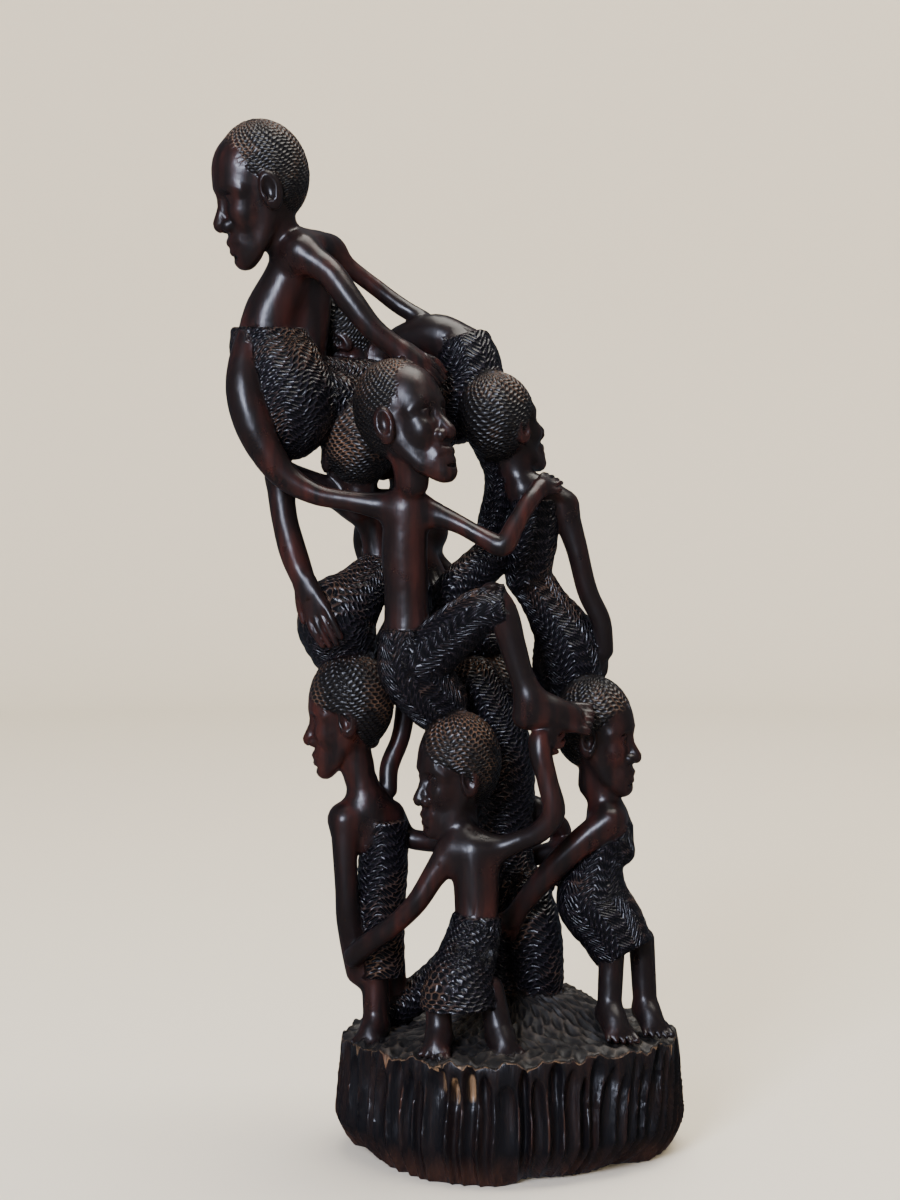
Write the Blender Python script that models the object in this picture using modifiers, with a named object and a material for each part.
"""A blackwood family tree carving: people who stand, sit and climb on each other over a gouged round base.

The real work is cut from one log, so it is one solid. Millimetres, x to the right, y away from the front,
z up, with the origin in the middle of the flat underside.
"""
import math

import bmesh
import bpy
from mathutils import Matrix, Vector

MM = 0.001                  # metres in a millimetre
BASE_RADIUS = 104.0         # the round base at its widest, low down
BASE_HEIGHT = 68.0          # underside to the rim
MOUND_HEIGHT = 95.0         # underside to the top of the rough ground that the people stand on
MOUND_CENTRE = (10.0, 6.0)
FLUTES = 46                 # strokes of the wide gouge around the base
FLUTE_DEPTH = 3.2
HEAD_DEPTH = 0.80           # the heads are long and narrow: depth and width against a plain head's
HEAD_WIDTH = 0.86
VOXEL = 2.4                 # size of the grid that fuses the limbs into one skin
TRIANGLES = 9200
# Where the log's round is cut back: direction seen from above, half width (degrees), depth.
BASE_HOLLOWS = ((-128, 20, 7.0), (-62, 16, 6.0), (20, 14, 3.0), (75, 22, 6.0), (148, 18, 4.0))
WOOD_COLOUR = (0.022, 0.012, 0.009, 1.0)

# Each head: middle, height from chin to crown, turn from +x (degrees, seen from above), tilt up (degrees).
HEADS = {
    "top": ((-147, -12, 559), 80, 195, -6),
    "centre": ((-59, -46, 427), 76, -33, 17),
    "upper_right": ((-97, 28, 474), 54, 165, -50),
    "right": ((-3, -4, 424), 61, 30, 22),
    "left": ((-92, 10, 408), 66, 180, -5),
    "front": ((-35, -40, 225), 67, 205, -4),
    "lower_right": ((52, -20, 245), 65, -22, 0),
    "lower_left": ((-98, -12, 256), 67, 180, -6),
    "rear_low": ((-8, 22, 258), 64, 82, 0),
    "rear_high": ((-60, 44, 420), 62, 100, 4),
}

# Each limb: stations along its middle as x, y, z and radius.
LIMBS = {
    "top": {
        "neck": [(-135, -8, 541, 9), (-129, -5, 526, 9)],
        "back": [(-128, -4, 524, 11), (-133, -4, 507, 13.5), (-141, -4, 490, 15), (-144, -4, 476, 18)],
        "belly": [(-116, 8, 508, 10), (-120, 8, 488, 13), (-124, 6, 470, 15)],
        "hips": [(-144, -4, 475, 20), (-136, -6, 455, 26), (-130, -6, 436, 26), (-129, -6, 424, 18)],
        "shoulders": [(-121, -18, 523, 8), (-117, 0, 528, 8), (-111, 14, 528, 8)],
        "near_arm": [(-121, -18, 526, 8.5), (-107, -24, 514, 7.5), (-93, -30, 496, 7), (-80, -32, 481, 6.5),
                     (-65, -30, 469, 5.5), (-54, -28, 461, 5)],
        "far_arm": [(-112, 14, 528, 8), (-98, 18, 519, 6.5), (-82, 20, 507, 6), (-67, 18, 495, 5)],
        "near_thigh": [(-129, -4, 441, 20), (-103, 6, 438, 16), (-84, 14, 432, 12)],
        "far_thigh": [(-127, 8, 455, 14), (-98, 14, 454, 9.5), (-74, 18, 453, 9)],
        "near_shin": [(-84, 16, 430, 9), (-82, 24, 405, 6), (-86, 28, 386, 5)],
        "far_shin": [(-72, 18, 450, 8), (-70, 32, 423, 6), (-74, 38, 399, 5)],
    },
    "centre": {
        "neck": [(-58, -42, 396, 7.5), (-59, -40, 380, 8)],
        "torso": [(-61, -38, 376, 12.5), (-62, -38, 356, 13), (-61, -38, 332, 12.5), (-61, -37, 308, 13.5)],
        "hips": [(-61, -36, 305, 14), (-58, -34, 286, 18), (-44, -28, 268, 16)],
        "left_arm": [(-67, -38, 379, 9), (-93, -36, 383, 5.4), (-113, -34, 386, 6), (-129, -32, 394, 7.5),
                     (-140, -30, 409, 7.5), (-149, -26, 423, 7.5), (-157, -22, 438, 7)],
        "right_arm": [(-50, -39, 377, 8.5), (-33, -44, 371, 5.5), (-16, -50, 362, 5.2), (-7, -53, 358, 6),
                      (1, -48, 370, 5.2), (10, -40, 384, 5), (16, -32, 391, 5)],
        "near_thigh": [(-58, -36, 287, 16), (-31, -48, 312, 13.5), (-9, -57, 331, 10.5)],
        "near_shin": [(-8, -58, 328, 8), (0, -60, 300, 7), (7, -62, 272, 6.2), (9, -62, 263, 6.2)],
        "far_thigh": [(-50, -26, 280, 15), (-60, -8, 288, 12), (-66, 8, 292, 8.5)],
        "far_shin": [(-66, 8, 291, 6.8), (-65, 8, 262, 5.4), (-73, 4, 232, 5)],
    },
    "upper_right": {
        "neck": [(-80, 24, 472, 9), (-94, 28, 475, 9)],
        "back": [(-28, 4, 470, 14), (-49, 12, 478, 12), (-67, 20, 476, 11.5), (-82, 25, 471, 10)],
        "hips": [(-27, 4, 463, 17.5), (-30, 6, 450, 17.5), (-34, 9, 440, 15)],
        "thigh": [(-33, 8, 444, 16), (-38, 14, 428, 13), (-41, 20, 416, 10)],
        "shin": [(-40, 22, 418, 8), (-40, 32, 396, 6), (-36, 38, 374, 5.5)],
        "arm": [(-66, 28, 472, 7), (-54, 42, 450, 6), (-40, 50, 436, 5.5), (-28, 52, 428, 5)],
    },
    "right": {
        "neck": [(1, -4, 403, 8.5), (5, -4, 388, 9)],
        "torso": [(14, -5, 378, 14), (12, -5, 356, 13), (9, -4, 338, 11.5)],
        "hips": [(10, -3, 338, 11.5), (21, -2, 320, 12.5), (32, 0, 301, 17), (36, 2, 284, 18),
                 (35, 4, 271, 14)],
        "shoulders": [(0, -14, 385, 7), (15, -6, 386, 9), (29, -4, 380, 8.5)],
        "near_arm": [(30, -6, 378, 8.5), (37, -8, 357, 6.5), (45, -8, 327, 6), (52, -8, 312, 5.5),
                     (54, -6, 295, 5)],
        "far_arm": [(-5, 4, 384, 7), (-11, 10, 368, 7.5), (-13, 12, 350, 7)],
        "seat": [(29, 8, 294, 15), (22, 22, 281, 12), (23, 28, 268, 9)],
    },
    "left": {
        "neck": [(-94, 12, 392, 8.5), (-91, 12, 380, 9)],
        "torso": [(-90, 11, 379, 9), (-81, 13, 367, 9.5), (-78, 13, 355, 9.5), (-76, 14, 340, 10.5)],
        "hips": [(-80, 10, 337, 12), (-93, 0, 324, 17), (-102, -4, 314, 22), (-99, 0, 298, 19)],
        "shoulders": [(-133, -4, 395, 8), (-113, 4, 388, 8), (-94, 10, 382, 9), (-71, 20, 382, 8)],
        "near_arm": [(-135, -6, 394, 7.5), (-131, -10, 368, 6), (-125, -14, 348, 5.5),
                     (-121, -17, 334, 5.5)],
        "far_arm": [(-70, 22, 381, 7), (-62, 40, 362, 6), (-66, 48, 342, 5.5), (-76, 44, 327, 5)],
        "thigh": [(-98, 4, 310, 17), (-95, 24, 299, 13), (-90, 38, 291, 10)],
        "shin": [(-90, 38, 290, 7.5), (-86, 42, 262, 6), (-84, 36, 238, 5.5)],
    },
    "front": {
        "neck": [(-33, -46, 200, 9), (-28, -49, 187, 10)],
        "torso": [(-22, -52, 183, 14), (-21, -54, 165, 13), (-21, -55, 142, 12.5)],
        "skirt": [(-21, -55, 142, 13.5), (-25, -57, 122, 17), (-28, -60, 103, 20)],
        "left_arm": [(-35, -52, 185, 9), (-46, -54, 169, 6.8), (-55, -54, 155, 6), (-66, -50, 143, 5.5),
                     (-81, -44, 131, 5.5), (-89, -36, 126, 5.5)],
        "right_arm": [(-13, -54, 184, 8.5), (1, -58, 190, 5.8), (15, -62, 198, 5.8), (23, -64, 206, 6),
                      (19, -64, 228, 5.5), (16, -63, 245, 6), (16, -62, 252, 6)],
        "left_leg": [(-43, -62, 100, 6.8), (-42, -67, 80, 6.4)],
        "right_leg": [(-13, -58, 102, 6.8), (-7, -65, 80, 6.8)],
    },
    "lower_right": {
        "neck": [(51, -20, 218, 8.5), (55, -20, 200, 9.5)],
        "torso": [(54, -20, 190, 14), (48, -18, 167, 15.5), (47, -18, 151, 20), (57, -20, 136, 19),
                  (63, -22, 125, 17)],
        "breast": [(64, -22, 183, 8), (66, -26, 179, 6.5)],
        "near_arm": [(56, -30, 198, 9), (37, -32, 184, 7.5), (19, -28, 165, 6.5), (6, -22, 148, 5.5),
                     (0, -18, 139, 5.5)],
        "far_arm": [(57, -6, 194, 8), (42, 12, 180, 6.5), (26, 26, 172, 5.5), (14, 30, 168, 5)],
        "near_leg": [(58, -28, 123, 7), (55, -34, 88, 6.2)],
        "far_leg": [(77, -12, 122, 7), (81, -14, 86, 6.2)],
    },
    "lower_left": {
        "neck": [(-91, -12, 226, 8.8), (-85, -12, 211, 9.5)],
        "torso": [(-76, -12, 200, 13), (-76, -12, 173, 13.5), (-77, -12, 140, 13), (-77, -12, 113, 12.5)],
        "shoulders": [(-97, -18, 199, 8), (-85, -12, 208, 9), (-68, -6, 206, 8)],
        "near_arm": [(-98, -20, 197, 7.8), (-98, -22, 180, 6.6), (-95, -24, 160, 6), (-96, -26, 137, 6),
                     (-94, -28, 124, 7)],
        "far_arm": [(-67, 0, 197, 7), (-61, -4, 185, 6), (-50, -8, 183, 5.6), (-36, -16, 184, 6)],
        "rump": [(-91, -14, 121, 9), (-87, -14, 107, 9)],
        "near_leg": [(-80, -16, 107, 7.4), (-80, -20, 74, 6.6)],
        "far_leg": [(-70, 2, 106, 7.2), (-68, 6, 77, 6.2)],
    },
    "rear_low": {
        "neck": [(-7, 18, 232, 9), (-6, 16, 212, 10)],
        "torso": [(-4, 14, 206, 14), (-5, 13, 194, 16), (-4, 12, 172, 16), (0, 12, 152, 17),
                  (5, 12, 130, 19)],
        "shoulders": [(-26, 16, 196, 8), (-5, 16, 204, 10), (14, 18, 197, 8)],
        "left_arm": [(-27, 16, 196, 8), (-38, 28, 216, 6.5), (-34, 38, 244, 6), (-26, 40, 274, 6)],
        "right_arm": [(15, 18, 196, 8), (30, 32, 182, 6.5), (26, 44, 160, 6)],
        "thigh": [(10, 4, 150, 13), (14, -2, 128, 13.5), (14, -3, 104, 12)],
        "striding_leg": [(-20, 9, 150, 13), (-37, 5, 128, 11), (-50, 5, 109, 9.5), (-62, 8, 94, 8)],
        "rear_leg": [(10, 24, 128, 12), (16, 34, 106, 8.5), (18, 40, 86, 7)],
    },
    "rear_high": {
        "neck": [(-60, 42, 400, 8), (-58, 42, 388, 9)],
        "torso": [(-58, 42, 380, 12), (-55, 42, 358, 12.5), (-44, 38, 330, 13.5)],
        "hips": [(-42, 38, 328, 14), (-32, 32, 308, 19), (-18, 26, 298, 18)],
        "shoulders": [(-80, 40, 380, 7.5), (-58, 42, 386, 9), (-38, 42, 382, 7.5)],
        "left_arm": [(-80, 40, 380, 8), (-84, 52, 362, 6.2), (-80, 44, 344, 5.8), (-76, 30, 332, 5.5)],
        "right_arm": [(-38, 42, 381, 8), (-42, 56, 358, 6.2), (-28, 56, 338, 5.8), (-8, 50, 328, 5.5)],
        "right_thigh": [(-14, 34, 302, 17), (16, 46, 312, 13), (34, 46, 312, 10)],
        "right_shin": [(34, 46, 310, 8), (44, 40, 286, 6.5), (50, 20, 264, 6)],
        "left_thigh": [(-34, 38, 306, 17), (-56, 50, 314, 12), (-66, 50, 312, 10)],
        "left_shin": [(-66, 50, 310, 8), (-78, 42, 290, 6.5), (-86, 20, 272, 6)],
        "raised_thigh": [(-32, 18, 306, 15), (-34, 2, 326, 12), (-12, 0, 349, 11)],
        "raised_shin": [(-44, 0, 366, 5.5), (-43, -2, 350, 7), (-42, 2, 332, 7.5)],
    },
}

# Each hand or foot: where it begins, the tips of its fingers or toes, and half its width.
HANDS = {
    "top_near": ((-54, -28, 461), (-46, -29, 440), 7.5),
    "top_far": ((-67, 18, 495), (-60, 16, 478), 7),
    "centre_left": ((-157, -22, 438), (-159, -15, 462), 7.5),
    "centre_right": ((15, -33, 390), (21, -20, 395), 6.5),
    "right_near": ((54, -6, 296), (51, -4, 277), 6),
    "left_near": ((-122, -17, 337), (-106, -20, 302), 9),
    "front_left": ((-86, -38, 127), (-100, -34, 121), 7),
    "front_right": ((16, -63, 249), (26, -60, 254), 8),
    "lower_right_near": ((2, -19, 141), (-5, -12, 128), 7),
    "lower_left_near": ((-95, -27, 130), (-96, -26, 112), 7),
}
FEET = {
    "centre_near": ((6, -62, 260), (43, -55, 266), 8),
    "front_left": ((-42, -65, 77), (-46, -84, 72), 7.5),
    "front_right": ((-8, -63, 77), (2, -80, 71), 7.5),
    "lower_right_near": ((54, -32, 84), (65, -54, 77), 8),
    "lower_right_far": ((80, -12, 82), (90, -34, 74), 8),
    "lower_left_near": ((-80, -18, 74), (-88, -38, 68), 7.5),
    "lower_left_far": ((-68, 8, 76), (-84, 14, 70), 7.5),
    "rear_low_striding": ((-58, 8, 92), (-80, 10, 79), 8),
    "rear_low_rear": ((18, 38, 86), (20, 60, 76), 8),
}


def add_ellipsoid(solid, placement, centre, radii):
    """A ball stretched to its three radii, in the frame that placement gives."""
    matrix = placement @ Matrix.Translation(centre) @ Matrix.Diagonal((*radii, 1.0))
    ball = bmesh.new()
    bmesh.ops.create_uvsphere(ball, u_segments=20, v_segments=12, radius=1.0, matrix=matrix)
    mesh = bpy.data.meshes.new("ball")
    ball.to_mesh(mesh)
    ball.free()
    solid.from_mesh(mesh)
    bpy.data.meshes.remove(mesh)


def add_mesh_of(solid, source):
    """Add the evaluated shape of a curve or a modified mesh, welded shut, and remove the source object."""
    bpy.context.view_layer.update()
    evaluated = source.evaluated_get(bpy.context.evaluated_depsgraph_get())
    mesh = bpy.data.meshes.new_from_object(evaluated)
    bpy.data.objects.remove(source)
    welded = bmesh.new()
    welded.from_mesh(mesh)
    bmesh.ops.remove_doubles(welded, verts=welded.verts, dist=0.00001)
    bmesh.ops.recalc_face_normals(welded, faces=welded.faces)
    welded.to_mesh(mesh)
    welded.free()
    solid.from_mesh(mesh)
    bpy.data.meshes.remove(mesh)


def add_limb(solid, collection, stations):
    """A smooth curve through its stations, with a round section of changing radius and ball ends."""
    curve = bpy.data.curves.new("limb", "CURVE")
    curve.dimensions = "3D"
    curve.resolution_u = 5
    curve.bevel_depth = MM
    curve.bevel_resolution = 3
    curve.use_fill_caps = True
    spline = curve.splines.new("BEZIER")
    spline.bezier_points.add(len(stations) - 1)
    for point, (x, y, z, radius) in zip(spline.bezier_points, stations):
        point.co = Vector((x, y, z)) * MM
        point.radius = radius
        point.handle_left_type = "AUTO"
        point.handle_right_type = "AUTO"
    limb = bpy.data.objects.new("limb", curve)
    collection.objects.link(limb)
    add_mesh_of(solid, limb)
    for x, y, z, radius in (stations[0], stations[-1]):
        end = Matrix.Translation(Vector((x, y, z)) * MM)
        add_ellipsoid(solid, end, (0, 0, 0), [radius * MM] * 3)


def frame_along(start, tip):
    """A frame at start whose x axis points to the tip and whose z axis stays as upright as it can."""
    forward = (Vector(tip) - Vector(start)).normalized()
    side = Vector((0, 0, 1)).cross(forward)
    if side.length < 0.2:
        side = Vector((0, 1, 0))
    side.normalize()
    up = forward.cross(side)
    turn = Matrix((forward, side, up)).transposed().to_4x4()
    return Matrix.Translation(Vector(start) * MM) @ turn


def add_head(solid, centre, height, turn, tilt):
    """A plain long head: skull, face, jaw, nose, lips and ears, in units of its own height."""
    size = height * MM
    placement = Matrix.Translation(Vector(centre) * MM)
    placement @= Matrix.Rotation(math.radians(turn), 4, "Z") @ Matrix.Rotation(math.radians(-tilt), 4, "Y")
    placement @= Matrix.Diagonal((size * HEAD_DEPTH, size * HEAD_WIDTH, size, 1.0))
    add_ellipsoid(solid, placement, (-0.10, 0, 0.13), (0.40, 0.33, 0.37))
    add_ellipsoid(solid, placement, (0.10, 0, -0.12), (0.25, 0.25, 0.36))
    add_ellipsoid(solid, placement, (0.16, 0, -0.36), (0.16, 0.15, 0.14))
    add_ellipsoid(solid, placement, (0.34, 0, -0.12), (0.09, 0.07, 0.11))
    add_ellipsoid(solid, placement, (0.31, 0, -0.30), (0.09, 0.11, 0.06))
    for side in (-1, 1):
        add_ellipsoid(solid, placement, (-0.03, side * 0.31, -0.04), (0.09, 0.05, 0.13))


def add_hand(solid, wrist, tip, half_width):
    """A palm and a block of fingers, flat and slightly tapered."""
    length = (Vector(tip) - Vector(wrist)).length
    placement = frame_along(wrist, tip)
    thickness = 0.55 * half_width
    add_ellipsoid(solid, placement, (0.35 * length * MM, 0, 0),
                  Vector((0.5 * length, half_width, thickness)) * MM)
    add_ellipsoid(solid, placement, (0.72 * length * MM, 0, 0),
                  Vector((0.42 * length, 0.8 * half_width, 0.8 * thickness)) * MM)


def add_foot(solid, heel, toes, half_width):
    """A foot is high at the ankle and low and wide at the toes."""
    length = (Vector(toes) - Vector(heel)).length
    placement = frame_along(heel, toes)
    add_ellipsoid(solid, placement, (0.15 * length * MM, 0, 0),
                  Vector((0.40 * length, 0.85 * half_width, 7)) * MM)
    add_ellipsoid(solid, placement, (0.60 * length * MM, 0, -1 * MM),
                  Vector((0.50 * length, half_width, 4.5)) * MM)


def fluted(x, y, z):
    """Where a point of the turned base goes once the gouge has cut its row of hollows around the side."""
    radius = math.hypot(x, y)
    if radius < 0.6 * BASE_RADIUS * MM:
        return x, y, z
    angle = math.atan2(y, x)
    depth = FLUTE_DEPTH * abs(math.sin(0.5 * FLUTES * angle))
    for middle, spread, hollow in BASE_HOLLOWS:
        away = math.remainder(angle - math.radians(middle), math.tau) / math.radians(spread)
        depth += hollow * math.exp(-away * away)
    new_radius = radius - depth * MM
    return new_radius * math.cos(angle), new_radius * math.sin(angle), z


def add_base(solid, collection):
    """The base is a thick turned disc that tucks in at the floor, with a low rough mound on top."""
    outline = [(0, BASE_HEIGHT + 6), (55, BASE_HEIGHT + 5), (92, BASE_HEIGHT), (98, BASE_HEIGHT - 4),
               (101, 45), (BASE_RADIUS, 22), (100, 10), (93, -4), (0, -4)]
    profile = bmesh.new()
    corners = [profile.verts.new((radius * MM, 0, height * MM)) for radius, height in outline]
    for upper, lower in zip(corners, corners[1:]):
        profile.edges.new((upper, lower))
    mesh = bpy.data.meshes.new("base_profile")
    profile.to_mesh(mesh)
    profile.free()
    disc = bpy.data.objects.new("base_profile", mesh)
    collection.objects.link(disc)
    screw = disc.modifiers.new("turned", "SCREW")
    screw.steps = screw.render_steps = FLUTES * 6
    screw.use_merge_vertices = True
    screw.merge_threshold = 0.0001
    turned = bmesh.new()
    add_mesh_of(turned, disc)
    for vert in turned.verts:
        vert.co = fluted(*vert.co)
    fluted_mesh = bpy.data.meshes.new("fluted_base")
    turned.to_mesh(fluted_mesh)
    turned.free()
    solid.from_mesh(fluted_mesh)
    bpy.data.meshes.remove(fluted_mesh)
    bpy.data.meshes.remove(mesh)
    mound = Matrix.Translation(Vector((*MOUND_CENTRE, 55)) * MM)
    add_ellipsoid(solid, mound, (0, 0, 0), Vector((54, 58, MOUND_HEIGHT - 55)) * MM)


def keep_largest_island(mesh):
    """Drop every loose crumb that the fusing grid leaves, and keep the carving itself."""
    skin = bmesh.new()
    skin.from_mesh(mesh)
    unseen = set(skin.verts)
    islands = []
    while unseen:
        island = set()
        front = [unseen.pop()]
        while front:
            vert = front.pop()
            island.add(vert)
            for edge in vert.link_edges:
                other = edge.other_vert(vert)
                if other in unseen:
                    unseen.remove(other)
                    front.append(other)
        islands.append(island)
    islands.sort(key=len)
    for island in islands[:-1]:
        bmesh.ops.delete(skin, geom=list(island), context="VERTS")
    skin.to_mesh(mesh)
    skin.free()


def wood_material():
    wood = bpy.data.materials.new("polished_blackwood")
    wood.use_nodes = True
    shader = wood.node_tree.nodes["Principled BSDF"]
    shader.inputs["Base Color"].default_value = WOOD_COLOUR
    shader.inputs["Roughness"].default_value = 0.32
    shader.inputs["Metallic"].default_value = 0.0
    return wood


def floor_cutter(collection):
    """A box below the floor, which leaves the underside exactly flat."""
    mesh = bpy.data.meshes.new("floor_cutter")
    box = bmesh.new()
    bmesh.ops.create_cube(box, size=0.4, matrix=Matrix.Translation((0, 0, -0.2)))
    box.to_mesh(mesh)
    box.free()
    cutter = bpy.data.objects.new("floor_cutter", mesh)
    cutter.hide_render = True
    cutter.display_type = "WIRE"
    collection.objects.link(cutter)
    return cutter


def build_carving(collection, cutters):
    solid = bmesh.new()
    add_base(solid, collection)
    for limbs in LIMBS.values():
        for stations in limbs.values():
            add_limb(solid, collection, stations)
    for centre, height, turn, tilt in HEADS.values():
        add_head(solid, centre, height, turn, tilt)
    for wrist, tip, half_width in HANDS.values():
        add_hand(solid, wrist, tip, half_width)
    for heel, toes, half_width in FEET.values():
        add_foot(solid, heel, toes, half_width)
    rough = bpy.data.meshes.new("carving_rough")
    solid.to_mesh(rough)
    solid.free()

    fused = bpy.data.objects.new("carving_rough", rough)
    collection.objects.link(fused)
    remesh = fused.modifiers.new("fused", "REMESH")
    remesh.mode = "VOXEL"
    remesh.voxel_size = VOXEL * MM
    bpy.context.view_layer.update()
    skin = bpy.data.meshes.new_from_object(fused.evaluated_get(bpy.context.evaluated_depsgraph_get()))
    bpy.data.objects.remove(fused)
    bpy.data.meshes.remove(rough)
    keep_largest_island(skin)
    skin.name = "carving"
    skin.materials.clear()
    skin.materials.append(wood_material())

    carving = bpy.data.objects.new("carving", skin)
    collection.objects.link(carving)
    fewer = carving.modifiers.new("fewer_faces", "DECIMATE")
    fewer.use_collapse_triangulate = True
    fewer.ratio = TRIANGLES / sum(len(face.vertices) - 2 for face in skin.polygons)
    flat = carving.modifiers.new("flat_underside", "BOOLEAN")
    flat.operation = "DIFFERENCE"
    flat.solver = "EXACT"
    flat.object = floor_cutter(cutters)
    return carving


def build():
    for item in list(bpy.data.objects):
        bpy.data.objects.remove(item)
    collection = bpy.data.collections.new("makonde_ujamaa_carving")
    cutters = bpy.data.collections.new("cutters")
    for group in (collection, cutters):
        bpy.context.scene.collection.children.link(group)
    build_carving(collection, cutters)


build()
